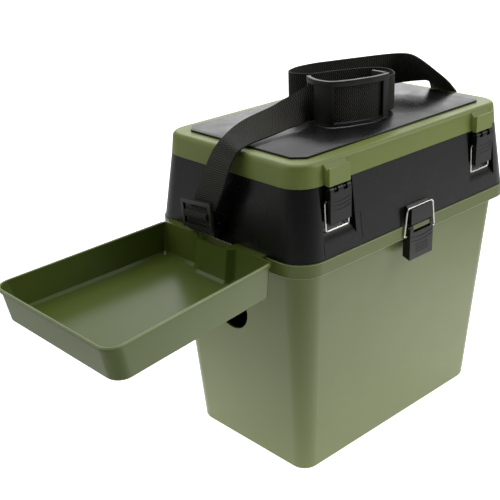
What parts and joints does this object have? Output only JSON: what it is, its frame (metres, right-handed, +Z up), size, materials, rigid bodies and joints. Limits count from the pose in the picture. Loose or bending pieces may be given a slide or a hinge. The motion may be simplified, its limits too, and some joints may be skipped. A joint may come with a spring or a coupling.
{
  "type": "fishing seat box",
  "caption": "Moulded seat box with a fish bin, a hinged tackle section, a padded lid, wire bail latches, a hook-on side tray and a webbing shoulder strap.",
  "frame": {"origin": "centre of the bin's underside", "axes": "+X to the right along the front, +Y to the back, +Z up; the latches face -Y and the side tray is at -X"},
  "size_m": [0.6136, 0.257, 0.431],
  "materials": {
    "green_plastic": "satin moulded polypropylene",
    "black_plastic": "satin moulded polypropylene",
    "buckle_plastic": "fine matt moulding",
    "pad_sheet": "glossy closed skin on foam",
    "webbing": "woven polypropylene webbing",
    "steel_wire": "bright nickel plate"
  },
  "bodies": {
    "bin": {"bin_shell": "green_plastic", "section_hinge_pin_left": "steel_wire", "section_hinge_pin_right": "steel_wire", "centre_latch_pin": "steel_wire"},
    "section": {"section_shell": "black_plastic", "lid_hinge_pin_left": "steel_wire", "lid_hinge_pin_right": "steel_wire", "left_latch_pin": "steel_wire", "right_latch_pin": "steel_wire", "left_strap_bracket": "black_plastic", "right_strap_bracket": "black_plastic", "left_bracket_screw_front": "steel_wire", "left_bracket_screw_rear": "steel_wire", "right_bracket_screw_front": "steel_wire", "right_bracket_screw_rear": "steel_wire", "strap_slider": "buckle_plastic", "strap_left_run": "webbing", "strap_right_run": "webbing"},
    "lid": {"lid_shell": "green_plastic", "seat_pad": "pad_sheet", "strap_top_run": "webbing", "shoulder_pad_cover": "buckle_plastic"},
    "left_lever": {"left_latch_lever": "black_plastic"},
    "left_bail": {"left_latch_bail": "steel_wire"},
    "right_lever": {"right_latch_lever": "black_plastic"},
    "right_bail": {"right_latch_bail": "steel_wire"},
    "centre_lever": {"centre_latch_lever": "black_plastic"},
    "centre_bail": {"centre_latch_bail": "steel_wire"},
    "tray": {"side_tray": "green_plastic"}
  },
  "joints": [
    {"name": "section_hinge", "type": "hinge", "parent": "bin", "child": "section", "pos_m": [0, 0.1265, 0.2755], "axis": [-1, 0, 0], "range_deg": [0, 95]},
    {"name": "lid_hinge", "type": "hinge", "parent": "section", "child": "lid", "pos_m": [0, 0.117, 0.352], "axis": [-1, 0, 0], "range_deg": [0, 100]},
    {"name": "left_lever_hinge", "type": "hinge", "parent": "section", "child": "left_lever", "pos_m": [-0.127, -0.1138, 0.3466], "axis": [-1, 0, 0], "range_deg": [0, 90]},
    {"name": "left_bail_hinge", "type": "hinge", "parent": "left_lever", "child": "left_bail", "pos_m": [-0.127, -0.112, 0.3353], "axis": [-1, 0, 0], "range_deg": [0, 140]},
    {"name": "right_lever_hinge", "type": "hinge", "parent": "section", "child": "right_lever", "pos_m": [0.127, -0.1138, 0.3466], "axis": [-1, 0, 0], "range_deg": [0, 90]},
    {"name": "right_bail_hinge", "type": "hinge", "parent": "right_lever", "child": "right_bail", "pos_m": [0.127, -0.112, 0.3353], "axis": [-1, 0, 0], "range_deg": [0, 140]},
    {"name": "centre_lever_hinge", "type": "hinge", "parent": "bin", "child": "centre_lever", "pos_m": [0, -0.123, 0.2719], "axis": [-1, 0, 0], "range_deg": [0, 100]},
    {"name": "centre_bail_hinge", "type": "hinge", "parent": "centre_lever", "child": "centre_bail", "pos_m": [0, -0.1219, 0.2628], "axis": [-1, 0, 0], "range_deg": [-280, 0]},
    {"name": "tray_tilt", "type": "hinge", "parent": "bin", "child": "tray", "pos_m": [-0.1871, 0, 0.2755], "axis": [0, 1, 0], "range_deg": [0, 6]}
  ],
  "couplings": [
    {"joint": "centre_lever_hinge", "follows": "section_hinge", "ratio": 1.0526},
    {"joint": "centre_bail_hinge", "follows": "section_hinge", "ratio": -2.947}
  ]
}
